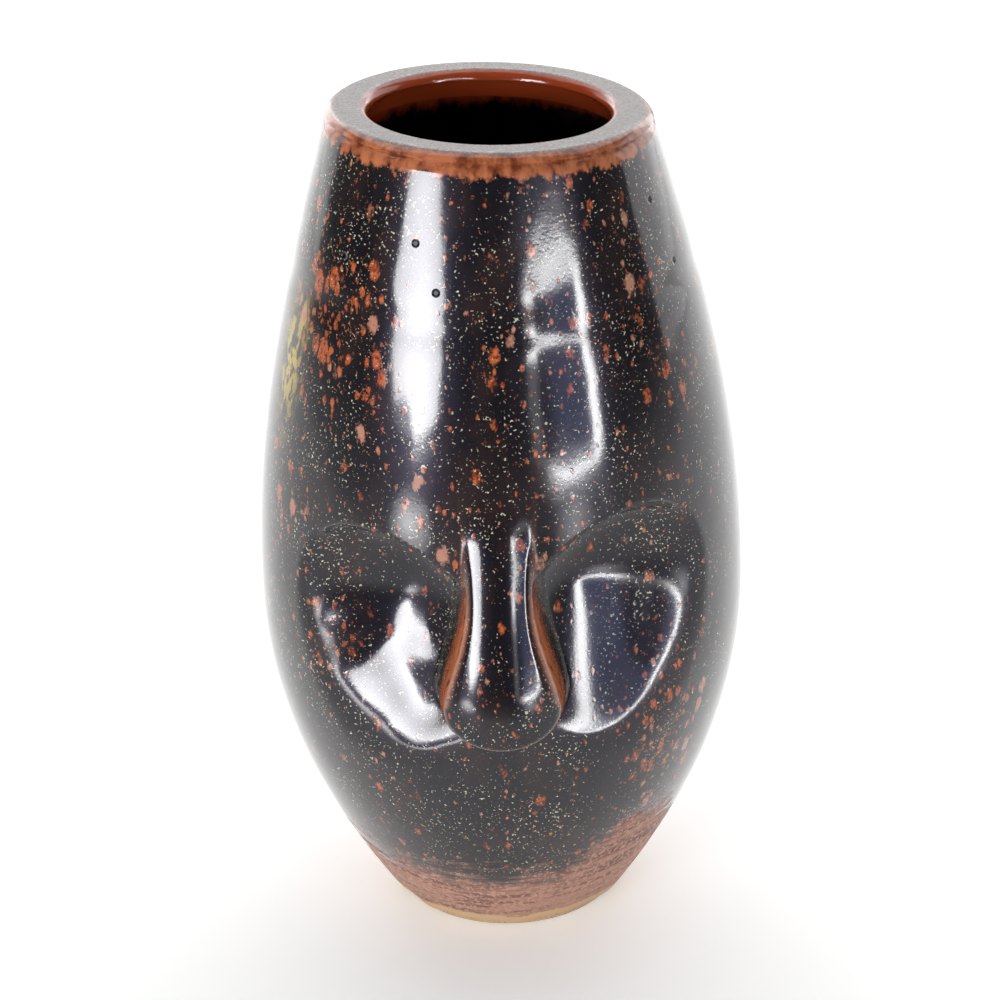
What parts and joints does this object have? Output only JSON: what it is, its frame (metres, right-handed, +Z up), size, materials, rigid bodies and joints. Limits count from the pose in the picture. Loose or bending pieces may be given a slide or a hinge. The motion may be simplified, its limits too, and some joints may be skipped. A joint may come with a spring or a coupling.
{
  "type": "vase",
  "caption": "Round stoneware vase with a face pressed and modelled in its wall, an open mouth and a flat foot, for holding flowers.",
  "frame": {"origin": "centre of the flat foot, on the surface it stands on", "axes": "+Z up along the turning axis of the pot, the face looks along -Y, +X is to the right as one looks at the face"},
  "size_m": [0.1156, 0.1266, 0.2021],
  "materials": {
    "bare_clay": "unglazed, matt",
    "nose_clay": "unglazed, matt",
    "outer_glaze": "gloss, brown-black iron glaze",
    "liner_glaze": "gloss, brown-black iron glaze"
  },
  "bodies": {
    "root": {"thrown_pot": "bare_clay", "nose": "nose_clay", "outer_glaze": "outer_glaze", "liner_glaze": "liner_glaze"}
  },
  "joints": []
}
